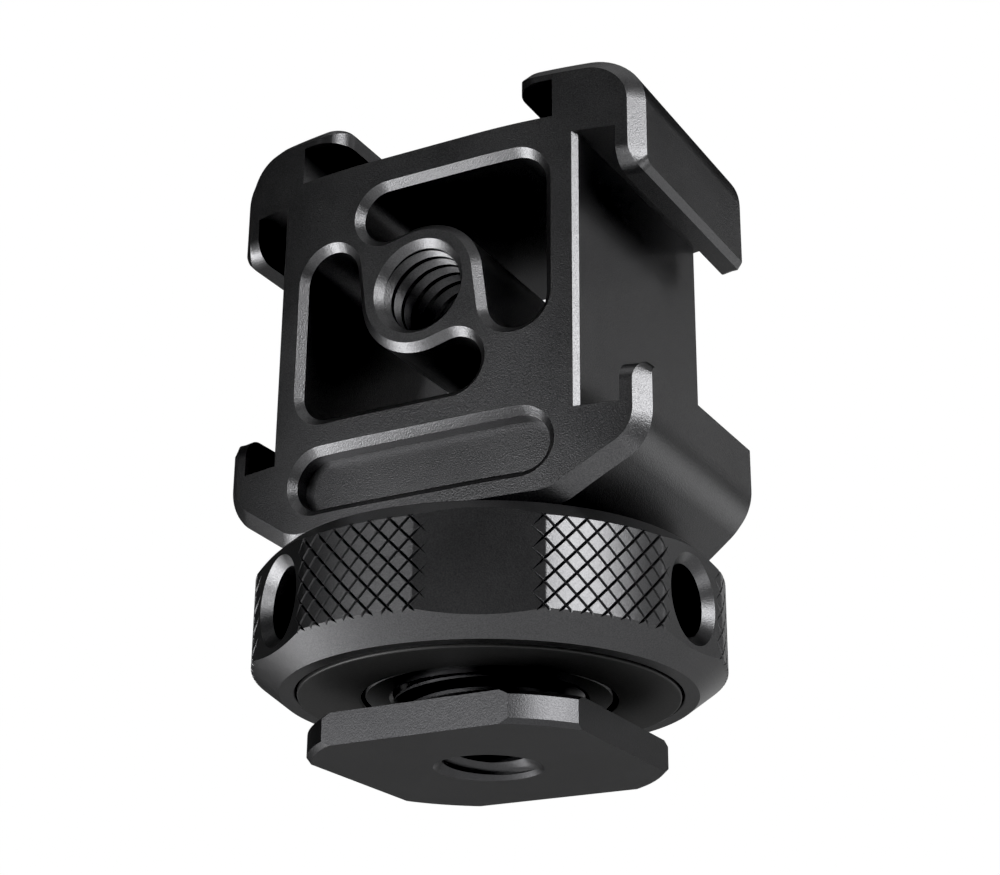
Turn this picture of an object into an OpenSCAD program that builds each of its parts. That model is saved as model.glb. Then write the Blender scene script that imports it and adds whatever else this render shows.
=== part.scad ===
// Triple cold-shoe expansion mount: a machined block with three accessory shoes and a
// tapped centre boss, on a threaded stem that ends in a shoe foot. A knurled wheel
// screws down the stem and clamps a camera's shoe rails between its pad and the foot.
//
// Frame: origin at the centre of the foot's underside, +Z up the stem, -Y the front face,
// X across the two side shoes. All sizes are millimetres.

/* [Shoe block] */
// Overall width across the side shoes
block_w = 30; // [30:0.1:31]
// Depth through the tapped boss
block_d = 19.9; // [19.5:0.1:21]
// Height of the block's underside above the foot's underside
base_z = 12.7; // [12.7:0.1:13.5]
// Height of the top of the upper shoe's lips
top_z = 42.7; // [42.7:0.1:43.5]
// Width of the flat middle strip of the front and back faces
flat_w = 8; // [4:0.5:12]
// Radius of the sweep from that strip back to the sides
sweep_r = 38.5; // [36:0.5:60]
// Radius of the upper outer corners
shoulder_r = 3.5; // [2.5:0.1:4]
// Slope of the lower corners from the horizontal, degrees
haunch_angle = 33; // [30:1:36]

/* [Shoes] */
// Distance between the side walls of a shoe, wide enough for a standard foot
shoe_w = 18.7; // [18.6:0.05:18.9]
// Gap between the lips that hold a foot down
mouth_w = 13; // [12.7:0.1:14.2]
// Height of the channel under a side shoe's lips
side_channel_h = 2.45; // [2.3:0.05:2.6]
// Height of the channel under the top shoe's lips
top_channel_h = 2.7; // [2.5:0.05:2.8]
// Thickness of a side shoe's lips
side_lip_t = 1.65; // [1.4:0.05:1.8]
// Thickness of the top shoe's lips
top_lip_t = 1.3; // [1.2:0.05:1.5]
// Rounding at the front ends of a side shoe's free lip edges
side_lip_end_r = 1.5; // [1:0.05:1.9]
// Rounding at the front ends of the top shoe's free lip edges
top_lip_end_r = 2.1; // [1:0.05:2.4]
// Rounding at the back ends of all the free lip edges
lip_back_r = 0.9; // [0.5:0.05:1.5]

/* [Pockets and boss] */
// Height of the tapped boss above the foot's underside
boss_z = 28.8; // [28.5:0.1:29]
// Radius of the boss wall inside the pockets
boss_r = 4.4; // [4.2:0.1:4.6]
// Depth of the stadium-shaped recess in the base's front
panel_depth = 1.5; // [1:0.1:1.8]

/* [Quarter-inch threads] */
// Radius of the 1/4 in-20 tapped holes, over the crests of the screw's thread
tap_r = 3.2; // [3.18:0.01:3.25]
// Depth of the tapped hole in the foot
foot_tap_depth = 9; // [8:0.5:11]

/* [Stem and foot] */
// Radius of the stem over its thread
stem_r = 6; // [5.9:0.05:6.1]
// Height of the stem's top, inside the block
stem_top_z = 19; // [18:0.5:19.5]
// Radius of the stem's lower end, pressed into the foot plate
spigot_r = 4.6; // [4.4:0.1:5]
// Width of the foot plate across its flats
foot_w = 18.6; // [18.4:0.05:18.65]
// Thickness of the foot plate
foot_t = 2; // [1.9:0.05:2.05]
// Radius of the disc the foot plate's corners are cut to
foot_corner_r = 11.25; // [10.8:0.05:11.6]

/* [Lock wheel] */
// Radius of the wheel over the knurl
wheel_r = 14.9; // [14.5:0.1:15]
// Number of flats between the knurled bands
flat_count = 6; // [6]
// Angle that half of one flat takes, degrees
flat_half_angle = 14.6; // [13:0.1:16]
// Direction of the front flat, degrees from +X
flat_turn = -63.9; // [-70:0.1:-50]
// Radius of the tommy-bar holes in every second flat
tommy_r = 2.25; // [2:0.05:2.4]
// Outer radius of the friction pad
pad_outer_r = 12; // [11.5:0.1:12.2]
// Inner radius of the friction pad
pad_inner_r = 8; // [7.95:0.05:8.3]
// Thickness of the friction pad
pad_t = 1.5; // [1.3:0.1:1.7]

/* [Hidden] */
$fn = 96;
ANODISED = [0.13, 0.13, 0.14];
eps = 0.01;
arc_steps = 14;
over = 1;

half_w = block_w / 2;
half_d = block_d / 2;
core_hw = half_w - side_lip_t - side_channel_h;
top_ceiling_z = top_z - top_lip_t;
top_floor_z = top_ceiling_z - top_channel_h;
side_mid_z = 28;
arm_chamfer = 0.9;
core_chamfer = 0.3;
// Where the swept faces reach the side shoes' floors
core_edge_y = swept_y(core_hw);
// The lips' rounded ends run out on the swept faces just inside these lines
side_lip_y = swept_y(half_w - side_lip_t) + 0.06;
top_lip_y = swept_y(mouth_w / 2);
haunch_r = 3.5;
haunch_z = 18.3;

// Lower corner: a quarter-ish arc from the vertical side into the sloping haunch
haunch_x = half_w - haunch_r + haunch_r * sin(haunch_angle);
haunch_foot_z = haunch_z - haunch_r * cos(haunch_angle);
haunch_end_x = haunch_x - (haunch_foot_z - base_z) / tan(haunch_angle);

// Pocket above and right of the boss, in x and in z above the boss; the other pocket is
// the same one turned half a turn about the boss
corner_c = [6.75, 5.65];
corner_r = 2;
lobe_low_c = [6.75, -2.15];
lobe_low_r = 2;
lobe_left_c = [-2.55, 5.8];
lobe_left_r = 1.85;

wheel_lo_z = 4.35;
band_lo_z = 5.75;
band_hi_z = 11.35;
wheel_hi_z = 12.5;
wheel_lo_r = 13.1;
wheel_hi_r = 13.7;
bushing_r = 7.8;
bushing_bore_r = stem_r + 0.06;
flat_dist = wheel_r * cos(flat_half_angle);
tommy_bottom_r = 9.6;
tommy_sink = 0.6;
pad_gap = 0.12;
pad_drop = 0.15;
pad_lo_z = wheel_lo_z - pad_drop;

spigot_z = 0.6;
foot_sink = 0.3;
foot_chamfer = 0.3;

grub_r = 1.5;
grub_z = 15.9;
grub_len = 3;
socket_across = 1.5;
grub_seat_y = stem_r - 0.25;

// Distance of the swept front and back faces from the middle plane at x
function swept_y(x) = half_d - sweep_r + sqrt(pow(sweep_r, 2) - pow(max(0, x - flat_w / 2), 2));

// Back half of the plan: flat over the middle strip, then an arc each side
module face_plan() {
    arc_y = half_d - sweep_r;
    intersection() {
        translate([-half_w, 0]) square([block_w, half_d]);
        union() {
            for (side = [-1, 1])
                translate([side * flat_w / 2, arc_y]) circle(sweep_r, $fn = 240);
            translate([-flat_w / 2, 0]) square([flat_w, half_d]);
        }
    }
}

// Plan of the block with its four upright outer edges chamfered along the swept faces
module block_plan() {
    edge_y = swept_y(half_w - arm_chamfer);
    difference() {
        union() {
            face_plan();
            mirror([0, 1]) face_plan();
        }
        for (sx = [-1, 1], sy = [-1, 1])
            corner_cut(sx, sy, edge_y);
    }
}

module corner_cut(sx, sy, edge_y) {
    polygon([
        [sx * (half_w - arm_chamfer), sy * edge_y],
        [sx * (half_w + over), sy * (edge_y - arm_chamfer - over)],
        [sx * (half_w + over), sy * (edge_y + over)],
        [sx * (half_w - arm_chamfer), sy * (edge_y + over)]
    ]);
}

// Front outline: rounded shoulders, upright sides and sloping lower corners
module block_outline() {
    shoulder_x = half_w - shoulder_r;
    shoulder_z = top_z - shoulder_r;
    side_x = half_w - haunch_r;
    foot_x = haunch_end_x - haunch_r * tan(haunch_angle / 2);
    foot_c_z = base_z + haunch_r;
    polygon(concat(
        arc([shoulder_x, shoulder_z], shoulder_r, 0, 90),
        arc([-shoulder_x, shoulder_z], shoulder_r, 90, 180),
        arc([-side_x, haunch_z], haunch_r, 180, 270 - haunch_angle),
        arc([-foot_x, foot_c_z], haunch_r, 270 - haunch_angle, 270),
        arc([foot_x, foot_c_z], haunch_r, 270, 270 + haunch_angle),
        arc([side_x, haunch_z], haunch_r, 270 + haunch_angle, 360)
    ));
}

// Side outline: chamfers along the top and bottom edges of the front and back faces
module block_profile() {
    c = arm_chamfer;
    polygon([
        [-half_d, base_z + c], [-half_d + c, base_z], [half_d - c, base_z], [half_d, base_z + c],
        [half_d, top_z - c], [half_d - c, top_z], [-half_d + c, top_z], [-half_d, top_z - c]
    ]);
}

module upright(depth) {
    rotate([90, 0, 0]) linear_extrude(depth, center = true) children();
}

module block_body() {
    intersection() {
        upright(block_d + 2 * over) block_outline();
        translate([0, 0, base_z - over]) linear_extrude(top_z - base_z + 2 * over) block_plan();
        rotate([90, 0, 90]) linear_extrude(block_w + 2 * over, center = true) block_profile();
    }
}

// One corner cutter: takes the square end of a lip's free edge back to a round of radius r
module lip_end(height, r) {
    difference() {
        translate([-over, -over, 0]) cube([r + over, r + over, height]);
        translate([r, r, -eps]) cylinder(h = height + 2 * eps, r = r);
    }
}

// Shoe space: channel under the lips, then the mouth between them. Built with the shoe
// floor at z = 0 and the foot sliding along Y. edge_c chamfers the floor's two ends, which
// lie at y = end_y; the lips' free edges are rounded where they meet the faces, at lip_y, to
// end_r at the front.
module shoe_space(channel_h, lip_t, end_y, lip_y, edge_c, end_r) {
    reach = edge_c + over;
    rotate([90, 0, 90]) linear_extrude(shoe_w, center = true) polygon([
        [-end_y + edge_c, 0], [-end_y - over, -reach], [-end_y - 2 * over, -reach],
        [-end_y - 2 * over, channel_h], [end_y + 2 * over, channel_h],
        [end_y + 2 * over, -reach], [end_y + over, -reach], [end_y - edge_c, 0]
    ]);
    translate([-mouth_w / 2, -half_d - over, eps])
        cube([mouth_w, block_d + 2 * over, channel_h + lip_t + over]);
    for (mx = [0, 1])
        mirror([mx, 0, 0]) translate([mouth_w / 2, 0, channel_h - eps]) {
            translate([0, -lip_y, 0]) lip_end(lip_t + over, end_r);
            mirror([0, 1, 0]) translate([0, -lip_y, 0]) lip_end(lip_t + over, lip_back_r);
        }
}

// Point where the straight inner tangent leaves the circle (c, r) towards the circle (o, s);
// side picks which of the two crossing tangents
function tangent_dir(c, r, o, s, side) =
    let (d = o - c, gap = norm(d), turn = acos((r + s) / gap))
    atan2(d[1], d[0]) + side * turn;
function arc(c, r, a0, a1) =
    [for (i = [0 : arc_steps]) let (a = a0 + (a1 - a0) * i / arc_steps) c + r * [cos(a), sin(a)]];

module pocket_outline() {
    low_a = tangent_dir(lobe_low_c, lobe_low_r, [0, 0], boss_r, 1);
    left_a = tangent_dir(lobe_left_c, lobe_left_r, [0, 0], boss_r, -1);
    polygon(concat(
        arc(lobe_left_c, lobe_left_r, 90, left_a + 360),
        arc([0, 0], boss_r, left_a + 180, low_a - 180),
        arc(lobe_low_c, lobe_low_r, low_a, 360),
        arc(corner_c, corner_r, 0, 90)
    ));
}

module pockets() {
    for (turn = [0, 180])
        translate([0, 0, boss_z]) rotate([0, turn, 0])
            upright(block_d + 2 * over) pocket_outline();
}

module boss_bore() {
    translate([0, 0, boss_z]) rotate([90, 0, 0]) {
        cylinder(h = block_d + 2 * over, r = tap_r, center = true);
        for (m = [0, 1])
            mirror([0, 0, m]) translate([0, 0, half_d - 0.1])
                cylinder(h = 0.1 + eps, r1 = tap_r, r2 = tap_r + 0.1);
    }
}

module panel() {
    panel_r = 2.3;
    panel_hl = 9.45;
    panel_z = 16.9;
    translate([0, -half_d + panel_depth, panel_z]) rotate([90, 0, 0])
        linear_extrude(panel_depth + over) {
            for (side = [-1, 1])
                translate([side * (panel_hl - panel_r), 0]) circle(panel_r);
            square([2 * (panel_hl - panel_r), 2 * panel_r], center = true);
        }
}

module shoe_block() color(ANODISED) difference() {
    block_body();
    translate([0, 0, top_floor_z])
        shoe_space(top_channel_h, top_lip_t, half_d, top_lip_y, 0, top_lip_end_r);
    for (side = [-1, 1])
        translate([side * core_hw, 0, side_mid_z]) rotate([0, side * 90, 0])
            shoe_space(side_channel_h, side_lip_t, core_edge_y, side_lip_y, core_chamfer,
                side_lip_end_r);
    pockets();
    boss_bore();
    panel();
    translate([0, 0, base_z - over]) cylinder(h = stem_top_z - base_z + over, r = stem_r);
    translate([0, half_d + over, grub_z]) rotate([90, 0, 0])
        cylinder(h = half_d + over - stem_r + 0.3, r = grub_r);
}

module stem() color(ANODISED) difference() {
    union() {
        translate([0, 0, foot_t]) cylinder(h = stem_top_z - foot_t, r = stem_r);
        translate([0, 0, spigot_z]) cylinder(h = foot_t, r = spigot_r);
    }
    cylinder(h = foot_tap_depth, r = tap_r);
    translate([0, stem_r + 0.1, grub_z]) rotate([90, 0, 0]) cylinder(h = 0.35, r = grub_r);
}

module stem_grub_screw() color("dimgray")
    translate([0, grub_seat_y + grub_len, grub_z]) rotate([90, 0, 0]) difference() {
        cylinder(h = grub_len, r = grub_r);
        translate([0, 0, -eps]) cylinder(h = 1.3, r = socket_across / sqrt(3), $fn = 6);
    }

// Square plate whose corners are turned to one round, with a chamfer on the turned part
module foot_blank() {
    r = foot_corner_r;
    c = foot_chamfer;
    intersection() {
        rotate_extrude() polygon([
            [0, 0], [r - c, 0], [r, c], [r, foot_t - c], [r - c, foot_t], [0, foot_t]
        ]);
        translate([-foot_w / 2, -foot_w / 2, -over]) cube([foot_w, foot_w, foot_t + 2 * over]);
    }
}

module foot_plate() color(ANODISED) difference() {
    foot_blank();
    translate([0, 0, -eps]) cylinder(h = foot_t, r = tap_r);
    translate([0, 0, -eps]) cylinder(h = foot_sink, r1 = tap_r + foot_sink, r2 = tap_r);
    translate([0, 0, spigot_z]) cylinder(h = foot_t, r = spigot_r);
}

// Wheel section: bottom cone, upright band, top cone, pad groove and bushing bore
module wheel_section() {
    groove_z = wheel_lo_z + pad_t - pad_drop + pad_gap;
    polygon([
        [bushing_r, groove_z], [pad_outer_r + pad_gap, groove_z],
        [pad_outer_r + pad_gap, wheel_lo_z], [wheel_lo_r, wheel_lo_z],
        [wheel_r, band_lo_z], [wheel_r, band_hi_z], [wheel_hi_r, wheel_hi_z],
        [bushing_r, wheel_hi_z]
    ]);
}

module lock_wheel() color(ANODISED) difference() {
    rotate_extrude() wheel_section();
    for (i = [0 : flat_count - 1])
        rotate(flat_turn + i * 360 / flat_count) {
            translate([flat_dist, -wheel_r / 2, wheel_lo_z - over])
                cube([over * 3, wheel_r, wheel_hi_z - wheel_lo_z + 2 * over]);
            if (i % 2 == 1)
                translate([0, 0, (band_lo_z + band_hi_z) / 2]) rotate([0, 90, 0]) {
                    translate([0, 0, tommy_bottom_r]) cylinder(h = wheel_r, r = tommy_r);
                    translate([0, 0, flat_dist - tommy_sink])
                        cylinder(h = tommy_sink + eps, r1 = tommy_r, r2 = tommy_r + tommy_sink);
                }
        }
}

module wheel_bushing() color("gray") rotate_extrude() polygon([
    [bushing_bore_r + 0.2, wheel_lo_z], [bushing_r, wheel_lo_z], [bushing_r, wheel_hi_z],
    [bushing_bore_r, wheel_hi_z], [bushing_bore_r, wheel_lo_z + 0.2]
]);

module friction_pad() color([0.05, 0.05, 0.05])
    translate([0, 0, pad_lo_z]) difference() {
        cylinder(h = pad_t, r = pad_outer_r);
        translate([0, 0, -eps]) cylinder(h = pad_t + 2 * eps, r = pad_inner_r);
    }

shoe_block();
stem();
stem_grub_screw();
foot_plate();
lock_wheel();
wheel_bushing();
friction_pad();
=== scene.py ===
"""Looks of a triple cold-shoe mount: a black anodised block with three accessory shoes on a
threaded stem, a knurled lock wheel with its pad ring, and a shoe foot.

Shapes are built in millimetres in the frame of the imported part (origin under the foot, +Z up
the stem, -Y the front face) and turned into metres when a piece is finished.
"""

import math

import bmesh
import bpy
from mathutils import Matrix, Vector


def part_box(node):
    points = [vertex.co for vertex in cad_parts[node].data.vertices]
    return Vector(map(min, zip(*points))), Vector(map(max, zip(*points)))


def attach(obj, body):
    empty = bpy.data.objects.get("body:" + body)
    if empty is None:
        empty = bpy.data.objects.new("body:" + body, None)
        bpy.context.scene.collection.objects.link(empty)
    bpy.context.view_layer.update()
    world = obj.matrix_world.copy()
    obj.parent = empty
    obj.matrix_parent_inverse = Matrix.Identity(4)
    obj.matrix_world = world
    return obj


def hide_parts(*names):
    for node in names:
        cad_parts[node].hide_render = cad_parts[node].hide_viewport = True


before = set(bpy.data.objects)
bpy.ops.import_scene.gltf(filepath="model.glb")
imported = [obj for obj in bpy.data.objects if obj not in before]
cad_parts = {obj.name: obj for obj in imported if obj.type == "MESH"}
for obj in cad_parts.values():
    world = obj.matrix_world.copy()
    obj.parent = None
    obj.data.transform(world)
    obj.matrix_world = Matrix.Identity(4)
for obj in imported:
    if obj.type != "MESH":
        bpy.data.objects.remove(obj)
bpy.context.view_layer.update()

MM = 0.001
SKIN = 0.4          # how far a cutter reaches past the face it opens, mm

# ---------------------------------------------------------------- sizes, mm, from the frame


def node_box(name):
    lo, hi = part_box(name)
    return lo / MM, hi / MM


block_lo, block_hi = node_box("shoe_block")
stem_lo, stem_hi = node_box("stem")
foot_lo, foot_hi = node_box("foot_plate")
wheel_lo, wheel_hi = node_box("lock_wheel")
pad_lo, pad_hi = node_box("friction_pad")
bush_lo, bush_hi = node_box("wheel_bushing")
grub_lo, grub_hi = node_box("stem_grub_screw")

HALF_W = block_hi.x
HALF_D = block_hi.y
BASE_Z = block_lo.z
TOP_Z = block_hi.z

# Outline of the block
SHOULDER_R = 3.5
HAUNCH_R = 3.5
HAUNCH_ANGLE = 33.0
HAUNCH_Z = BASE_Z + 5.6
EDGE_CHAMFER = 0.9
FLAT_HALF = 4.0     # half of the flat middle strip of the front face
SWEEP_R = 38.5      # radius of the sweep from that strip back to the sides

# Shoes
SHOE_HALF = 9.35
MOUTH_HALF = 6.5
TOP_LIP_END_R = 2.1
TOP_LIP_CHAMFER = 0.22
SIDE_LIP_END_R = 1.5
SIDE_LIP_CHAMFER = 0.4
LIP_BACK_R = 0.9    # the lips' free edges are rounded less at the back
TOP_CEILING_Z = TOP_Z - 1.3
TOP_FLOOR_Z = TOP_CEILING_Z - 2.7
SIDE_LIP_X = HALF_W - 1.65
CORE_X = SIDE_LIP_X - 2.45
SIDE_MID_Z = 28.0
CORE_CHAMFER = 0.3

# Boss, pockets and panel
BOSS_Z = 28.8
BOSS_R = 4.4
POCKET_CHAMFER = 0.5
LOW_LOBE = (6.75, -2.15, 2.0)
LEFT_LOBE = (-2.55, 5.8, 1.85)
CORNER_LOBE = (6.75, 5.65, 2.0)
PANEL_Z = 16.9
PANEL_HALF = 9.45
PANEL_R = 2.3
PANEL_CHAMFER = 0.5
PANEL_DEPTH = 1.5

# Quarter-inch 20 threads of the boss and the foot
TAP_PITCH = 1.27
TAP_MAJOR_R = 3.175
BOSS_MINOR_R = 2.74
BOSS_ROOT_SHARE = 0.3
BOSS_SINK_R = 3.25
BOSS_SINK_DEPTH = 0.48
FOOT_MINOR_R = 2.5
FOOT_ROOT_SHARE = 0.2
FOOT_SINK_R = 3.45
FOOT_TAP_DEPTH = 9.0
FOOT_TAP_TURN = math.radians(-153)

# Grub screw in the back of the block
GRUB_R = (grub_hi.z - grub_lo.z) / 2
GRUB_Z = (grub_hi.z + grub_lo.z) / 2
SOCKET_R = 0.86     # over the corners of its hexagon socket

# Stem and foot plate
STEM_R = (stem_hi.x - stem_lo.x) / 2
STEM_PITCH = 1.25
STEM_THREAD_DEPTH = 0.72
SPIGOT_R = 4.6
FOOT_CORNER_R = 11.23
FOOT_CHAMFER = 0.3


# ---------------------------------------------------------------- mesh helpers


def arc(cx, cy, r, a0, a1, steps=14):
    """Points along a circle from angle a0 to a1, in degrees, both ends kept."""
    angles = [math.radians(a0 + (a1 - a0) * i / steps) for i in range(steps + 1)]
    return [(cx + r * math.cos(a), cy + r * math.sin(a)) for a in angles]


def solid(name, bm):
    """A scratch object, still in millimetres, from a closed bmesh."""
    bmesh.ops.recalc_face_normals(bm, faces=bm.faces)
    mesh = bpy.data.meshes.new(name)
    bm.to_mesh(mesh)
    bm.free()
    obj = bpy.data.objects.new(name, mesh)
    bpy.context.scene.collection.objects.link(obj)
    return obj


def loft(name, loops):
    """Closed solid through loops of the same number of points; the two end loops are capped."""
    bm = bmesh.new()
    rings = [[bm.verts.new(p) for p in loop] for loop in loops]
    count = len(rings[0])
    for a, b in zip(rings, rings[1:]):
        for i in range(count):
            j = (i + 1) % count
            bm.faces.new((a[i], a[j], b[j], b[i]))
    bm.faces.new(rings[0])
    bm.faces.new(rings[-1])
    return solid(name, bm)


def turned(name, profile, steps=128):
    """Ring turned about Z from a closed profile of (r, z) points, none of them on the axis."""
    bm = bmesh.new()
    rings = []
    for k in range(steps):
        a = 2 * math.pi * k / steps
        rings.append([bm.verts.new((r * math.cos(a), r * math.sin(a), z)) for r, z in profile])
    count = len(profile)
    for k in range(steps):
        a, b = rings[k], rings[(k + 1) % steps]
        for i in range(count):
            j = (i + 1) % count
            bm.faces.new((a[i], a[j], b[j], b[i]))
    return solid(name, bm)


def plug(name, profile, steps=96):
    """Solid turned about Z from (r, z) points running up the outside; flat caps at both ends."""
    return loft(name, [
        [(r * math.cos(2 * math.pi * k / steps), r * math.sin(2 * math.pi * k / steps), z)
         for k in range(steps)]
        for r, z in profile])


def close_ends(bm, z_lo, z_hi):
    """Cuts an open tube off square at two heights and caps it."""
    for z, up in ((z_lo, -1), (z_hi, 1)):
        geom = bm.verts[:] + bm.edges[:] + bm.faces[:]
        bmesh.ops.bisect_plane(bm, geom=geom, dist=1e-6, plane_co=(0, 0, z),
                               plane_no=(0, 0, up), clear_outer=True)
        rim = [e for e in bm.edges if e.is_boundary and all(abs(v.co.z - z) < 1e-4 for v in e.verts)]
        bmesh.ops.triangle_fill(bm, edges=rim, use_beauty=True)


def threaded_rod(name, z_lo, z_hi, pitch, profile, turn=0.0, around=72):
    """Right-hand screw between two heights. profile gives (share of the pitch, radius) points."""
    per = len(profile)
    turns_below = math.floor(z_lo / pitch) - 2
    rows = (math.ceil((z_hi - z_lo) / pitch) + 4) * per
    bm = bmesh.new()
    grid = []
    for j in range(rows + per):
        share, r = profile[j % per]
        row = []
        for k in range(around):
            a = 2 * math.pi * k / around
            z = pitch * (turns_below + j // per + share + k / around)
            row.append(bm.verts.new((r * math.cos(a + turn), r * math.sin(a + turn), z)))
        grid.append(row)
    for j in range(rows - 1):
        for k in range(around):
            if k < around - 1:
                quad = (grid[j][k], grid[j][k + 1], grid[j + 1][k + 1], grid[j + 1][k])
            else:
                quad = (grid[j][k], grid[j + per][0], grid[j + per + 1][0], grid[j + 1][k])
            bm.faces.new(quad)
    loose = [v for v in bm.verts if not v.link_faces]
    bmesh.ops.delete(bm, geom=loose, context="VERTS")
    close_ends(bm, z_lo, z_hi)
    return solid(name, bm)


def bake_modifier(obj):
    graph = bpy.context.evaluated_depsgraph_get()
    mesh = bpy.data.meshes.new_from_object(obj.evaluated_get(graph))
    obj.modifiers.clear()
    old = obj.data
    obj.data = mesh
    bpy.data.meshes.remove(old)


def combine(obj, tool, operation):
    """Applies one boolean and removes the tool."""
    step = obj.modifiers.new("combine", "BOOLEAN")
    step.object = tool
    step.operation = operation
    step.solver = "MANIFOLD"
    bake_modifier(obj)
    bpy.data.objects.remove(tool)
    return obj


def cut(obj, *tools):
    for tool in tools:
        combine(obj, tool, "DIFFERENCE")
    return obj


def place(obj, matrix):
    obj.data.transform(matrix)
    return obj


def shade(obj, sharp):
    """Joins faces that lie in one plane, splits the shading at edges sharper than the angle and
    lets the larger faces set the normals elsewhere, so that flat faces stay flat."""
    bm = bmesh.new()
    bm.from_mesh(obj.data)
    bmesh.ops.dissolve_limit(bm, angle_limit=math.radians(0.05), verts=bm.verts, edges=bm.edges)
    bm.to_mesh(obj.data)
    bm.free()
    obj.data.polygons.foreach_set("use_smooth", [True] * len(obj.data.polygons))
    obj.data.set_sharp_from_angle(angle=math.radians(sharp))
    step = obj.modifiers.new("weigh", "WEIGHTED_NORMAL")
    step.keep_sharp = True
    bake_modifier(obj)


def finish_piece(obj, name, material, body, nodes, sharp=30.0):
    """Shading, millimetres to metres, material and its place in the frame."""
    shade(obj, sharp)
    obj.data.transform(Matrix.Scale(MM, 4))
    obj.name = name
    obj.data.name = name
    obj.data.materials.clear()
    obj.data.materials.append(material)
    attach(obj, body)
    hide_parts(*nodes)


# ---------------------------------------------------------------- shoe block


def outline_xz(inset):
    """Front outline of the block, moved in by inset."""
    r = SHOULDER_R - inset
    h = HAUNCH_R - inset
    top = (HALF_W - SHOULDER_R, TOP_Z - SHOULDER_R)
    side_x = HALF_W - HAUNCH_R
    slope = math.radians(HAUNCH_ANGLE)
    tangent_x = side_x + HAUNCH_R * math.sin(slope)
    tangent_z = HAUNCH_Z - HAUNCH_R * math.cos(slope)
    end_x = tangent_x - (tangent_z - BASE_Z) / math.tan(slope)
    foot = (end_x - HAUNCH_R * math.tan(slope / 2), BASE_Z + HAUNCH_R)
    down = 270 - HAUNCH_ANGLE
    up = 270 + HAUNCH_ANGLE
    return (arc(top[0], top[1], r, 0, 90) + arc(-top[0], top[1], r, 90, 180)
            + arc(-side_x, HAUNCH_Z, h, 180, down) + arc(-foot[0], foot[1], h, down, 270)
            + arc(foot[0], foot[1], h, 270, up) + arc(side_x, HAUNCH_Z, h, up, 360))


def pocket_xz(grow):
    """Outline of the pocket right of and above the boss, about the boss centre."""

    def tangent(lobe, side):
        gap = math.hypot(lobe[0], lobe[1])
        turn = math.degrees(math.acos((lobe[2] + BOSS_R) / gap))
        return math.degrees(math.atan2(-lobe[1], -lobe[0])) + side * turn

    low, left = tangent(LOW_LOBE, 1), tangent(LEFT_LOBE, -1)
    return (arc(LEFT_LOBE[0], LEFT_LOBE[1], LEFT_LOBE[2] + grow, 90, left + 360, 20)
            + arc(0, 0, BOSS_R - grow, left + 180, low - 180, 20)
            + arc(LOW_LOBE[0], LOW_LOBE[1], LOW_LOBE[2] + grow, low, 360, 20)
            + arc(CORNER_LOBE[0], CORNER_LOBE[1], CORNER_LOBE[2] + grow, 0, 90))


def stadium_xz(grow):
    straight = PANEL_HALF - PANEL_R
    return (arc(straight, PANEL_Z, PANEL_R + grow, -90, 90, 20)
            + arc(-straight, PANEL_Z, PANEL_R + grow, 90, 270, 20))


def upright(points, y, lift=0.0):
    return [(x, y, z + lift) for x, z in points]


def pocket_cutter(name, half_turn):
    sign = -1 if half_turn else 1

    def ring(grow, y):
        return upright([(sign * x, sign * z) for x, z in pocket_xz(grow)], y, BOSS_Z)

    c = POCKET_CHAMFER
    return loft(name, [ring(c + SKIN, -HALF_D - SKIN), ring(0, -HALF_D + c),
                       ring(0, HALF_D - c), ring(c + SKIN, HALF_D + SKIN)])


def panel_cutter():
    c = PANEL_CHAMFER
    return loft("panel", [upright(stadium_xz(SKIN), -HALF_D - SKIN),
                          upright(stadium_xz(-c), -HALF_D + c),
                          upright(stadium_xz(-c), -HALF_D + PANEL_DEPTH)])


def channel_cutter(name, half, lo, hi, chamfer):
    """Channel of a shoe lying along local Y: half wide, from the floor at lo to the lips at hi.
    chamfer breaks the floor's front and back edges."""
    far = HALF_D + 2 * SKIN
    reach = chamfer + SKIN
    section = [(-HALF_D + chamfer, lo), (-HALF_D - SKIN, lo - reach), (-far, lo - reach),
               (-far, hi), (far, hi), (far, lo - reach), (HALF_D + SKIN, lo - reach),
               (HALF_D - chamfer, lo)]
    if not chamfer:
        section = [(-far, lo), (-far, hi), (far, hi), (far, lo)]
    return loft(name, [[(x, y, z) for y, z in section] for x in (-half, half)])


def mouth_cutter(name, lo, hi, front_r, chamfer, steps=12):
    """Gap between a shoe's lips: lip ends rounded to front_r at the front and LIP_BACK_R at the
    back, and a chamfer that runs along the lips' free edges and widens round their ends into
    the chamfer of the block's faces."""
    far = HALF_D + 2 * SKIN

    def lip_end(r, depth):
        """Round from a face to the free edge, at a share of the chamfer's depth below its top."""
        cx, cy = MOUTH_HALF + r, HALF_D - r
        points = []
        for i in range(steps + 1):
            t = i / steps
            a = math.radians(90 + 90 * t)
            c = EDGE_CHAMFER + (chamfer - EDGE_CHAMFER) * t * t * (3 - 2 * t)
            inner = r - c * (1 - depth)
            points.append((cx + inner * math.cos(a), cy + inner * math.sin(a), hi - c * depth))
        return [(cx, far, points[0][2])] + points

    def plan(depth):
        back = lip_end(LIP_BACK_R, depth)
        front = [(x, -y, h) for x, y, h in reversed(lip_end(front_r, depth))]
        right = back + front
        left = [(-x, y, h) for x, y, h in reversed(right)]
        return [Vector(p) for p in right + left]

    foot, rim = plan(1), plan(0)
    floor = [Vector((p.x, p.y, lo)) for p in foot]
    past = [b + (b - a) * SKIN / (b.z - a.z) for a, b in zip(foot, rim)]
    return loft(name, [floor, foot, past])


def to_side(side):
    """Turns a shoe built upwards about Z into one facing +X or -X at the side shoes' height."""
    return Matrix.Translation((0, 0, SIDE_MID_Z)) @ Matrix.Rotation(side * math.pi / 2, 4, "Y")


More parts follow.
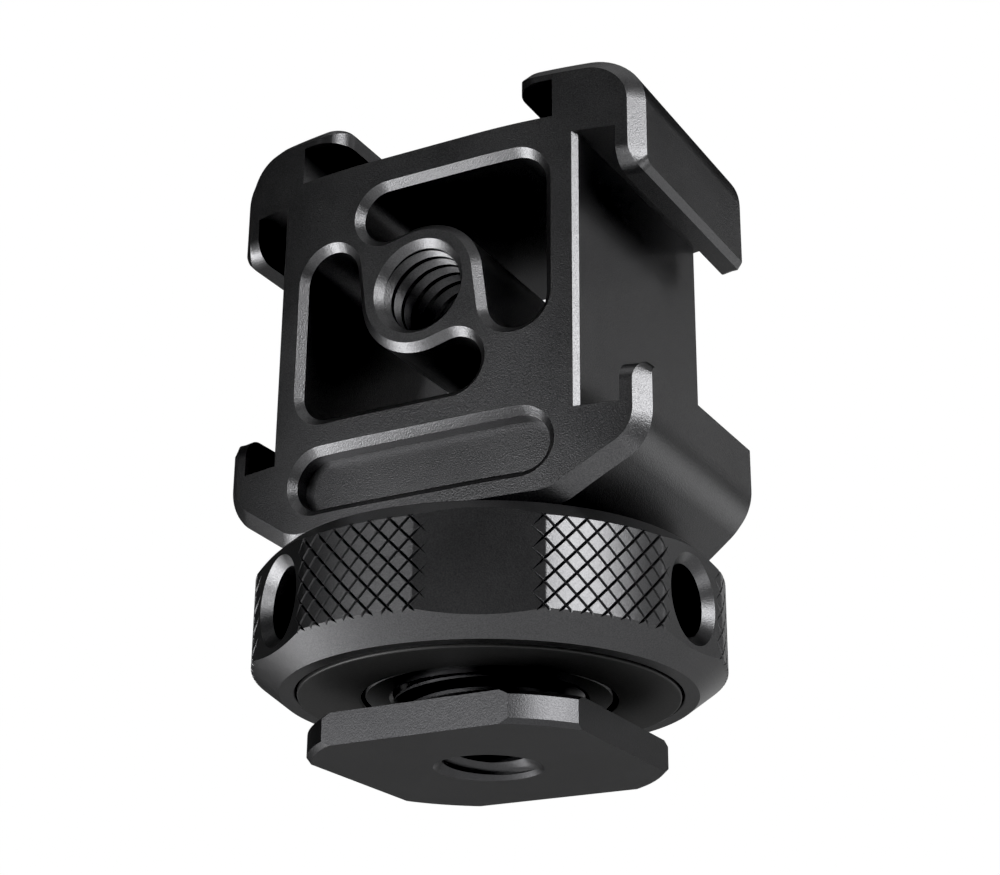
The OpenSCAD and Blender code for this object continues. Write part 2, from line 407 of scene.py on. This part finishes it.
def outward(y):
    """Turns a shape built upwards about Z into one facing the back at the grub screw's height."""
    return Matrix.Translation((0, y, GRUB_Z)) @ Matrix.Rotation(-math.pi / 2, 4, "X")


def setback(x):
    """How far the swept front and back faces lie behind their middle strip at x."""
    reach = min(max(0.0, abs(x) - FLAT_HALF), HALF_W - EDGE_CHAMFER - FLAT_HALF)
    return SWEEP_R - math.sqrt(SWEEP_R ** 2 - reach ** 2)


def sweep_faces(obj, strips=18, y_free=6.5, y_full=7.5):
    """Bends the flat front and back faces to the sweep, past their middle strips."""
    bm = bmesh.new()
    bm.from_mesh(obj.data)
    span = HALF_W - EDGE_CHAMFER - FLAT_HALF
    for side in (-1, 1):
        for i in range(strips + 1):
            x = side * (FLAT_HALF + span * i / strips)
            geom = bm.verts[:] + bm.edges[:] + bm.faces[:]
            bmesh.ops.bisect_plane(bm, geom=geom, dist=1e-5, plane_co=(x, 0, 0), plane_no=(1, 0, 0))
    for v in bm.verts:
        share = min(1.0, max(0.0, (abs(v.co.y) - y_free) / (y_full - y_free)))
        v.co.y -= math.copysign(setback(v.co.x) * share, v.co.y)
    bm.to_mesh(obj.data)
    bm.free()
    return obj


def tap_profile(minor_r, root, crest=0.14):
    """Share-of-pitch and radius points of the cutter for a tapped hole, whose thread leaves flats
    at minor_r over the share root of its pitch."""
    flank = (1 - crest - root) / 2
    return [(0, minor_r), (root, minor_r), (root + flank, TAP_MAJOR_R),
            (root + flank + crest, TAP_MAJOR_R)]


def build_block():
    c = EDGE_CHAMFER
    block = loft("block", [upright(outline_xz(c), -HALF_D), upright(outline_xz(0), -HALF_D + c),
                           upright(outline_xz(0), HALF_D - c), upright(outline_xz(c), HALF_D)])
    cut(block, channel_cutter("top_channel", SHOE_HALF, TOP_FLOOR_Z, TOP_CEILING_Z, 0),
        mouth_cutter("top_mouth", TOP_CEILING_Z - 1, TOP_Z, TOP_LIP_END_R, TOP_LIP_CHAMFER))
    for side in (-1, 1):
        channel = channel_cutter("side_channel", SHOE_HALF, CORE_X, SIDE_LIP_X, CORE_CHAMFER)
        mouth = mouth_cutter("side_mouth", SIDE_LIP_X - 1, HALF_W, SIDE_LIP_END_R, SIDE_LIP_CHAMFER)
        cut(block, place(channel, to_side(side)), place(mouth, to_side(side)))
    cut(block, pocket_cutter("pocket_a", False), pocket_cutter("pocket_b", True), panel_cutter())

    along_y = Matrix.Translation((0, 0, BOSS_Z)) @ Matrix.Rotation(math.pi / 2, 4, "X")
    tap = threaded_rod("tap", -HALF_D - SKIN, HALF_D + SKIN, TAP_PITCH,
                       tap_profile(BOSS_MINOR_R, BOSS_ROOT_SHARE))
    cut(block, place(tap, along_y))
    for end in (-1, 1):
        cone = plug("cone", [(BOSS_SINK_R - BOSS_SINK_DEPTH, end * (HALF_D - BOSS_SINK_DEPTH)),
                             (BOSS_SINK_R + SKIN, end * (HALF_D + SKIN))])
        cut(block, place(cone, along_y))

    hole_r = STEM_R + 0.02
    cut(block, plug("stem_hole", [(STEM_R + 0.45 + SKIN, BASE_Z - SKIN), (hole_r, BASE_Z + 0.45),
                                  (hole_r, stem_hi.z)]))
    hole_r = GRUB_R + 0.02
    hole = plug("grub_hole", [(hole_r, 0), (hole_r, HALF_D - 0.25),
                              (hole_r + 0.25 + SKIN, HALF_D + SKIN)])
    cut(block, place(hole, outward(0)))
    return sweep_faces(block)


# ---------------------------------------------------------------- stem, foot and grub screw


def foot_tap(z_hi):
    return threaded_rod("tap", -1.0, z_hi, TAP_PITCH, tap_profile(FOOT_MINOR_R, FOOT_ROOT_SHARE),
                        FOOT_TAP_TURN)


def foot_sink():
    """Countersink of the hole in the foot's underside."""
    lo = foot_lo.z
    return plug("sink", [(FOOT_SINK_R + SKIN, lo - SKIN), (FOOT_MINOR_R, lo + FOOT_SINK_R - FOOT_MINOR_R)])


def build_stem():
    """Threaded stem with a plain neck over the foot plate and a spigot down into it."""
    valley_r = STEM_R - STEM_THREAD_DEPTH
    neck_r = STEM_R - 0.45
    top = foot_hi.z
    profile = [(0, valley_r), (0.18, valley_r), (0.52, STEM_R), (0.66, STEM_R)]
    rod = threaded_rod("rod", top + 0.6, stem_hi.z, STEM_PITCH, profile)
    neck = plug("neck", [(neck_r, top - 0.1), (neck_r, top + 0.65), (neck_r - 0.35, top + 1.0)])
    combine(rod, neck, "UNION")
    spigot = plug("spigot", [(SPIGOT_R, stem_lo.z), (SPIGOT_R, top)])
    combine(rod, spigot, "UNION")
    return cut(rod, foot_tap(foot_lo.z + FOOT_TAP_DEPTH), foot_sink())


def build_foot():
    """Square plate with its corners turned to one round and bored for the stem's spigot."""
    half, r, c = foot_hi.x, FOOT_CORNER_R, FOOT_CHAMFER
    lo, hi = foot_lo.z, foot_hi.z
    foot = plug("foot", [(r - c, lo), (r, lo + c), (r, hi - c), (r - c, hi)])
    corners = [(-half, -half), (half, -half), (half, half), (-half, half)]
    square = loft("square", [[(x, y, z) for x, y in corners] for z in (lo - 1, hi + 1)])
    combine(foot, square, "INTERSECT")
    bore = plug("bore", [(SPIGOT_R, stem_lo.z), (SPIGOT_R, hi + 1)])
    return cut(foot, foot_tap(stem_lo.z + 0.01), foot_sink(), bore)


def build_grub():
    """Set screw with a hexagon socket, built with its socket end up."""
    r, length = GRUB_R, grub_hi.y - grub_lo.y
    screw = plug("screw", [(r - 0.3, 0), (r, 0.3), (r, length - 0.2), (r - 0.2, length)])
    cut(screw, plug("socket", [(SOCKET_R, length - 1.3), (SOCKET_R, length + 0.5)], 6))
    return place(screw, outward(grub_lo.y))


# ---------------------------------------------------------------- lock wheel

KNURL_TEETH = 72
KNURL_RISE = 1.33       # pitch of the diamonds up the band
KNURL_TURN = -79.5      # direction and height of one crossing of two grooves
KNURL_Z = 6.01
KNURL_DEPTH = 0.18
GROOVE_SHARE = 0.2      # groove width as a share of the knurl's pitch
WHEEL_R = 14.9
FLAT_TURN = -63.9
FLAT_DIST = WHEEL_R * math.cos(math.radians(14.6))
BAND_LO_Z = 5.75
BAND_HI_Z = 11.35
WHEEL_LO_R = 13.1
WHEEL_HI_R = 13.7
TOMMY_R = 2.25
TOMMY_SINK = 0.6
TOMMY_BOTTOM_R = 9.6
PAD_GAP = 0.12          # between the pad ring and its groove
PAD_HOLE_R = 8.0


def knurled_bar(z_lo, z_hi):
    """Round bar with two families of 45 degree grooves that leave flat-topped diamonds."""
    around = 2 * math.pi * WHEEL_R / KNURL_TEETH
    start = math.radians(KNURL_TURN) * WHEEL_R
    g = GROOVE_SHARE / 2
    shares = [0, g, g + (1 - 2 * g) / 3, g + 2 * (1 - 2 * g) / 3, 1 - g]
    per = len(shares)
    lines = KNURL_TEETH * per
    rows_lo = math.floor((z_lo - KNURL_Z) / KNURL_RISE * 2) - 2
    rows_hi = math.ceil((z_hi - KNURL_Z) / KNURL_RISE * 2) + 2
    bm = bmesh.new()
    verts = {}

    def vert(i, j):
        key = (i % lines, j - (i - i % lines))
        if key not in verts:
            a, b = i // per + shares[i % per], j // per + shares[j % per]
            turn = (around * (a + b) / 2 + start) / WHEEL_R
            r = WHEEL_R - (0 if i % per and j % per else KNURL_DEPTH)
            z = KNURL_Z + KNURL_RISE * (a - b) / 2
            verts[key] = bm.verts.new((r * math.cos(turn), r * math.sin(turn), z))
        return verts[key]

    for i in range(lines):
        for j in range(i - rows_hi * per, i - rows_lo * per):
            quad = [vert(i, j), vert(i + 1, j), vert(i + 1, j + 1), vert(i, j + 1)]
            high = [k for k, (u, v) in enumerate(((i, j), (i + 1, j), (i + 1, j + 1), (i, j + 1)))
                    if u % per and v % per]
            if len(high) == 1:
                k = high[0]
                bm.faces.new((quad[k], quad[k - 3], quad[k - 2]))
                bm.faces.new((quad[k], quad[k - 2], quad[k - 1]))
            else:
                bm.faces.new(quad)
    close_ends(bm, z_lo, z_hi)
    return solid("knurl", bm)


def build_wheel():
    lo, hi = wheel_lo.z, wheel_hi.z
    bush_r = bush_hi.x
    grow = 0.5
    slope_lo = (BAND_LO_Z - lo) / (WHEEL_R - WHEEL_LO_R)
    slope_hi = (hi - BAND_HI_Z) / (WHEEL_R - WHEEL_HI_R)
    ceiling = pad_hi.z + PAD_GAP
    groove_r = pad_hi.x + PAD_GAP
    body = turned("wheel", [
        (bush_r, ceiling), (groove_r, ceiling), (groove_r, lo + 0.08), (groove_r + 0.08, lo),
        (WHEEL_LO_R, lo), (WHEEL_R + grow, BAND_LO_Z + grow * slope_lo),
        (WHEEL_R + grow, BAND_HI_Z - grow * slope_hi), (WHEEL_HI_R, hi),
        (bush_r + 0.15, hi), (bush_r, hi - 0.15)], 192)
    combine(body, knurled_bar(lo - 1, hi + 1), "INTERSECT")
    mid_z = (BAND_LO_Z + BAND_HI_Z) / 2
    for i in range(6):
        turn = Matrix.Rotation(math.radians(FLAT_TURN + 60 * i), 4, "Z")
        slab = loft("slab", [[(x, y, z) for x, y in ((FLAT_DIST, -9), (FLAT_DIST + 4, -9),
                                                    (FLAT_DIST + 4, 9), (FLAT_DIST, 9))]
                             for z in (lo - 1, hi + 1)])
        cut(body, place(slab, turn))
        if i % 2:
            r, bottom = TOMMY_R, TOMMY_BOTTOM_R
            bore = plug("bore", [(r - 0.1, bottom), (r, bottom + 0.15), (r, FLAT_DIST - TOMMY_SINK),
                                 (r + TOMMY_SINK + SKIN, FLAT_DIST + SKIN)], 64)
            level = Matrix.Translation((0, 0, mid_z)) @ Matrix.Rotation(math.pi / 2, 4, "Y")
            cut(body, place(bore, turn @ level))
    return body


def build_bushing():
    lo, hi = bush_lo.z, bush_hi.z
    r, bore = bush_hi.x, STEM_R + 0.06
    return turned("bushing", [(bore + 0.2, lo), (r - 0.12, lo), (r, lo + 0.12), (r, hi - 0.1),
                              (r - 0.1, hi), (bore + 0.25, hi), (bore, hi - 0.25), (bore, lo + 0.2)])


def build_pad():
    lo, hi, r = pad_lo.z, pad_hi.z, pad_hi.x
    edge = 0.12
    rim = arc(r - edge, lo + edge, edge, -90, 0, 4)
    eye = arc(PAD_HOLE_R + edge, lo + edge, edge, 180, 270, 4)
    return turned("pad", eye + rim + [(r, hi), (PAD_HOLE_R, hi)], 160)


# ---------------------------------------------------------------- materials

PATCH_SIZE = 7.0        # soft patches in tone and gloss, mm
GRAIN_SIZE = 0.09       # bead-blast grain, mm
GRAIN_DEPTH = 0.02
LATHE_SIZE = 0.09       # spacing of turning marks, mm
LATHE_DEPTH = 0.015
MOULD_SIZE = 0.2        # texture of the moulded ring, mm
GRAIN_SHARE = 2.0       # how strongly the grain and the patches move the tone
PATCH_SHARE = 0.5


def grey(level, blue=0.002):
    return (level, level, level + blue, 1)


def socket_set(node, **values):
    for name, value in values.items():
        node.inputs[name.replace("_", " ")].default_value = value


def new_material(name):
    mat = bpy.data.materials.new(name)
    mat.use_nodes = True
    nodes, links = mat.node_tree.nodes, mat.node_tree.links
    where = nodes.new("ShaderNodeTexCoord").outputs["Object"]
    return mat, nodes, links, where


def noise(nodes, links, vector, size, detail, roughness=0.5):
    """Value of a noise whose features are about size mm across."""
    tex = nodes.new("ShaderNodeTexNoise")
    socket_set(tex, Scale=1 / (size * MM), Detail=detail, Roughness=roughness)
    links.new(vector, tex.inputs["Vector"])
    return tex.outputs["Fac"]


def multiply_add(nodes, links, value, factor, addend):
    """value * factor + addend, where addend is a number or a socket."""
    step = nodes.new("ShaderNodeMath")
    step.operation = "MULTIPLY_ADD"
    links.new(value, step.inputs[0])
    step.inputs[1].default_value = factor
    if isinstance(addend, float):
        step.inputs[2].default_value = addend
    else:
        links.new(addend, step.inputs[2])
    return step.outputs[0]


def blend_tones(nodes, links, factor, dark, light):
    tone = nodes.new("ShaderNodeMix")
    tone.data_type = "RGBA"
    tone.inputs["A"].default_value = dark
    tone.inputs["B"].default_value = light
    links.new(factor, tone.inputs["Factor"])
    return tone.outputs["Result"]


def remap(nodes, links, value, from_min, from_max, to_min, to_max):
    step = nodes.new("ShaderNodeMapRange")
    socket_set(step, From_Min=from_min, From_Max=from_max, To_Min=to_min, To_Max=to_max)
    links.new(value, step.inputs["Value"])
    return step.outputs["Result"]


def relief(nodes, links, height, strength, depth):
    bump = nodes.new("ShaderNodeBump")
    socket_set(bump, Strength=strength, Distance=depth * MM)
    links.new(height, bump.inputs["Height"])
    return bump


def lathe_marks(nodes, links, where):
    """Noise that changes only with the distance from Z and the height, as turning leaves."""
    flat = nodes.new("ShaderNodeVectorMath")
    flat.operation = "MULTIPLY"
    flat.inputs[1].default_value = (1, 1, 0)
    links.new(where, flat.inputs[0])
    length = nodes.new("ShaderNodeVectorMath")
    length.operation = "LENGTH"
    links.new(flat.outputs[0], length.inputs[0])
    split = nodes.new("ShaderNodeSeparateXYZ")
    links.new(where, split.inputs[0])
    pair = nodes.new("ShaderNodeCombineXYZ")
    links.new(length.outputs["Value"], pair.inputs[0])
    links.new(split.outputs["Z"], pair.inputs[2])
    return noise(nodes, links, pair.outputs[0], LATHE_SIZE, 2.0, 0.7)


def anodised(name, dark, light, rough_lo, rough_hi, grain, lathe=0.0):
    """Black anodised metal: bead-blast grain, soft patches in tone and gloss, and turning marks
    round Z where lathe is above 0."""
    mat, nodes, links, where = new_material(name)
    shader = nodes["Principled BSDF"]
    shader.inputs["Metallic"].default_value = 1.0
    patches = noise(nodes, links, where, PATCH_SIZE, 3.0, 0.55)
    fine = noise(nodes, links, where, GRAIN_SIZE, 1.5, 0.6)
    shift = multiply_add(nodes, links, patches, PATCH_SHARE, 0.5 - (GRAIN_SHARE + PATCH_SHARE) / 2)
    factor = multiply_add(nodes, links, fine, GRAIN_SHARE, shift)
    links.new(blend_tones(nodes, links, factor, dark, light), shader.inputs["Base Color"])
    gloss = remap(nodes, links, patches, 0.35, 0.65, rough_lo, rough_hi)
    links.new(gloss, shader.inputs["Roughness"])
    surface = relief(nodes, links, fine, grain, GRAIN_DEPTH)
    if lathe:
        rings = relief(nodes, links, lathe_marks(nodes, links, where), lathe, LATHE_DEPTH)
        links.new(surface.outputs["Normal"], rings.inputs["Normal"])
        surface = rings
    links.new(surface.outputs["Normal"], shader.inputs["Normal"])
    return mat


def rubber(name):
    """Matt black ring with a faint moulded texture."""
    mat, nodes, links, where = new_material(name)
    shader = nodes["Principled BSDF"]
    shader.inputs["Specular IOR Level"].default_value = 0.2
    mould = noise(nodes, links, where, MOULD_SIZE, 3.0)
    tone = blend_tones(nodes, links, mould, grey(0.004, 0), grey(0.009, 0))
    links.new(tone, shader.inputs["Base Color"])
    links.new(remap(nodes, links, mould, 0, 1, 0.38, 0.5), shader.inputs["Roughness"])
    surface = relief(nodes, links, mould, 0.15, GRAIN_DEPTH)
    links.new(surface.outputs["Normal"], shader.inputs["Normal"])
    return mat


block_finish = anodised("block_anodising", grey(0.052), grey(0.092), 0.315, 0.345, 0.8)
foot_finish = anodised("foot_anodising", grey(0.04), grey(0.058), 0.315, 0.345, 0.4)
stem_finish = anodised("stem_anodising", grey(0.045), grey(0.065), 0.26, 0.34, 0.2, lathe=0.3)
wheel_finish = anodised("wheel_anodising", grey(0.051), grey(0.083), 0.315, 0.345, 0.5, lathe=0.2)
steel_finish = anodised("black_oxide_steel", grey(0.07, 0.005), grey(0.12, 0.005), 0.22, 0.32, 0.2)
pad_finish = rubber("pad_rubber")


# ---------------------------------------------------------------- pieces

finish_piece(build_block(), "block_shell", block_finish, "mount_body", ["shoe_block"])
finish_piece(build_stem(), "stem_screw", stem_finish, "mount_body", ["stem"])
finish_piece(build_foot(), "shoe_foot", foot_finish, "mount_body", ["foot_plate"])
finish_piece(build_grub(), "grub_screw", steel_finish, "mount_body", ["stem_grub_screw"])
finish_piece(build_wheel(), "knurled_wheel", wheel_finish, "wheel", ["lock_wheel"], 20)
finish_piece(build_bushing(), "bushing_ring", wheel_finish, "wheel", ["wheel_bushing"])
finish_piece(build_pad(), "pad_ring_face", pad_finish, "pad_ring", ["friction_pad"])


# ---------------------------------------------------------------- camera, floor and light

TARGET = Vector((0.593, 0, 21.94)) * MM
FLOOR_Z = -0.16         # metres, below the camera, which looks up at the object
STAGE_RADIUS = 2.0
FLOOR_PAINT = 0.82
FLOOR_GLOW = 0.78
WORLD_LIGHT = 0.012
BLACK_LEVEL = 0.0035    # light level shown as black


def aim(azimuth, elevation):
    """Direction from the object towards azimuth (0 is in front, 90 is +X) and elevation."""
    a, e = math.radians(azimuth), math.radians(elevation)
    return Vector((math.sin(a) * math.cos(e), -math.cos(a) * math.cos(e), math.sin(e)))


def add_camera(azimuth, elevation, roll, distance, lens):
    data = bpy.data.cameras.new("camera")
    data.lens = lens
    data.sensor_width = 36
    data.clip_start = 0.001
    data.clip_end = 20
    camera = bpy.data.objects.new("camera", data)
    back = aim(azimuth, elevation)
    turn = back.to_track_quat("Z", "Y").to_matrix().to_4x4()
    camera.matrix_world = (Matrix.Translation(TARGET + back * distance) @ turn
                           @ Matrix.Rotation(math.radians(roll), 4, "Z"))
    bpy.context.scene.collection.objects.link(camera)
    bpy.context.scene.camera = camera


def add_light(name, azimuth, elevation, distance, width, height, radiance):
    """Softbox facing the object. Its power follows from how bright its face should look."""
    data = bpy.data.lights.new(name, "AREA")
    data.shape = "RECTANGLE"
    data.size, data.size_y = width, height
    data.energy = radiance * width * height * math.pi
    light = bpy.data.objects.new(name, data)
    back = aim(azimuth, elevation)
    light.location = TARGET + back * distance
    light.rotation_mode = "QUATERNION"
    light.rotation_quaternion = back.to_track_quat("Z", "Y")
    light.visible_camera = False
    bpy.context.scene.collection.objects.link(light)


def stage_material(name, level, glow=0.0):
    mat = bpy.data.materials.new(name)
    mat.use_nodes = True
    shader = mat.node_tree.nodes["Principled BSDF"]
    shader.inputs["Base Color"].default_value = grey(level, 0)
    shader.inputs["Roughness"].default_value = 0.9
    if glow:
        shader.inputs["Emission Color"].default_value = (1, 1, 1, 1)
        shader.inputs["Emission Strength"].default_value = glow
    return mat


def disc(name, z, paint):
    bm = bmesh.new()
    bmesh.ops.create_circle(bm, cap_ends=True, segments=96, radius=STAGE_RADIUS)
    bm.transform(Matrix.Translation((0, 0, z)))
    obj = solid(name, bm)
    obj.data.materials.append(paint)
    return obj


def add_stage():
    """Pale floor under a white dome. A pale sheet just over the floor and the dome only show;
    they light nothing and cast nothing."""
    floor = disc("floor", FLOOR_Z, stage_material("floor_paint", FLOOR_PAINT))
    sheet = disc("floor_sheet", FLOOR_Z + MM, stage_material("sheet_paint", 0, FLOOR_GLOW))
    bm = bmesh.new()
    bmesh.ops.create_uvsphere(bm, u_segments=64, v_segments=32, radius=STAGE_RADIUS)
    dome = solid("dome", bm)
    dome.data.materials.append(stage_material("dome_paint", 0, 1.0))
    for obj in (sheet, dome):
        for ray in ("diffuse", "glossy", "transmission", "volume_scatter", "shadow"):
            setattr(obj, f"visible_{ray}", False)


add_camera(28.58, -22.35, 0.468, 135.765 * MM, 74.55)
add_stage()
# Azimuth and elevation in degrees, distance, width and height in metres, radiance
add_light("key", 70, 20, 0.40, 0.245, 0.20, 14.5)
add_light("side", 130, 20, 0.40, 0.14, 0.20, 1.9)
add_light("rear_low", 145, -12, 0.40, 0.32, 0.17, 1.2)
add_light("rear", 180, 8, 0.40, 0.29, 0.32, 0.5)
add_light("low_left", -60, -35, 0.26, 0.13, 0.13, 14.0)
add_light("low_front", -40, -30, 0.30, 0.095, 0.13, 10.0)
add_light("low_left_rear", -88, -35, 0.26, 0.13, 0.13, 3.8)
add_light("low_right", 84, -30, 0.30, 0.10, 0.10, 4.0)
add_light("front_low", -22, -8, 0.40, 0.32, 0.14, 7.0)
add_light("front", -20, 6, 0.40, 0.36, 0.085, 3.6)
add_light("top", 0, 80, 0.40, 0.39, 0.39, 1.0)

world = bpy.data.worlds.new("studio")
world.use_nodes = True
world.node_tree.nodes["Background"].inputs["Color"].default_value = (1, 1, 1, 1)
world.node_tree.nodes["Background"].inputs["Strength"].default_value = WORLD_LIGHT
bpy.context.scene.world = world
view = bpy.context.scene.view_settings
view.view_transform = "Standard"
view.use_curve_mapping = True
view.curve_mapping.black_level = (BLACK_LEVEL,) * 3
view.curve_mapping.update()
